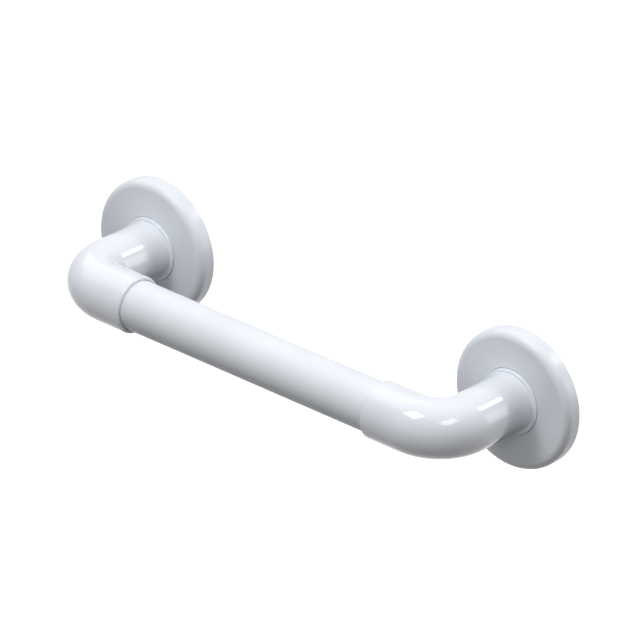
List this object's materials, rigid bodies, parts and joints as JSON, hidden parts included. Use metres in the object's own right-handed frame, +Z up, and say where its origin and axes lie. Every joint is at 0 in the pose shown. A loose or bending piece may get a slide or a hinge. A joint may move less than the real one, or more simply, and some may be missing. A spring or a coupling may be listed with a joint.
{
  "type": "grab bar",
  "caption": "Straight wall grab bar: a white tube held between moulded elbows, with a round push-fit cover over each wall plate, for a hand beside a bath or shower.",
  "frame": {"origin": "on the wall plane, midway between the centres of the two wall plates", "axes": "+X along the bar to the right, +Y into the wall, +Z up"},
  "size_m": [0.3908, 0.0936, 0.0908],
  "materials": {
    "coated_tube": "gloss",
    "elbow_moulding": "gloss",
    "cover_moulding": "gloss",
    "screw_steel": "satin"
  },
  "bodies": {
    "root": {"grab_tube": "coated_tube", "left_elbow": "elbow_moulding", "right_elbow": "elbow_moulding", "left_cover": "cover_moulding", "right_cover": "cover_moulding", "tube_screws": "screw_steel"}
  },
  "joints": []
}
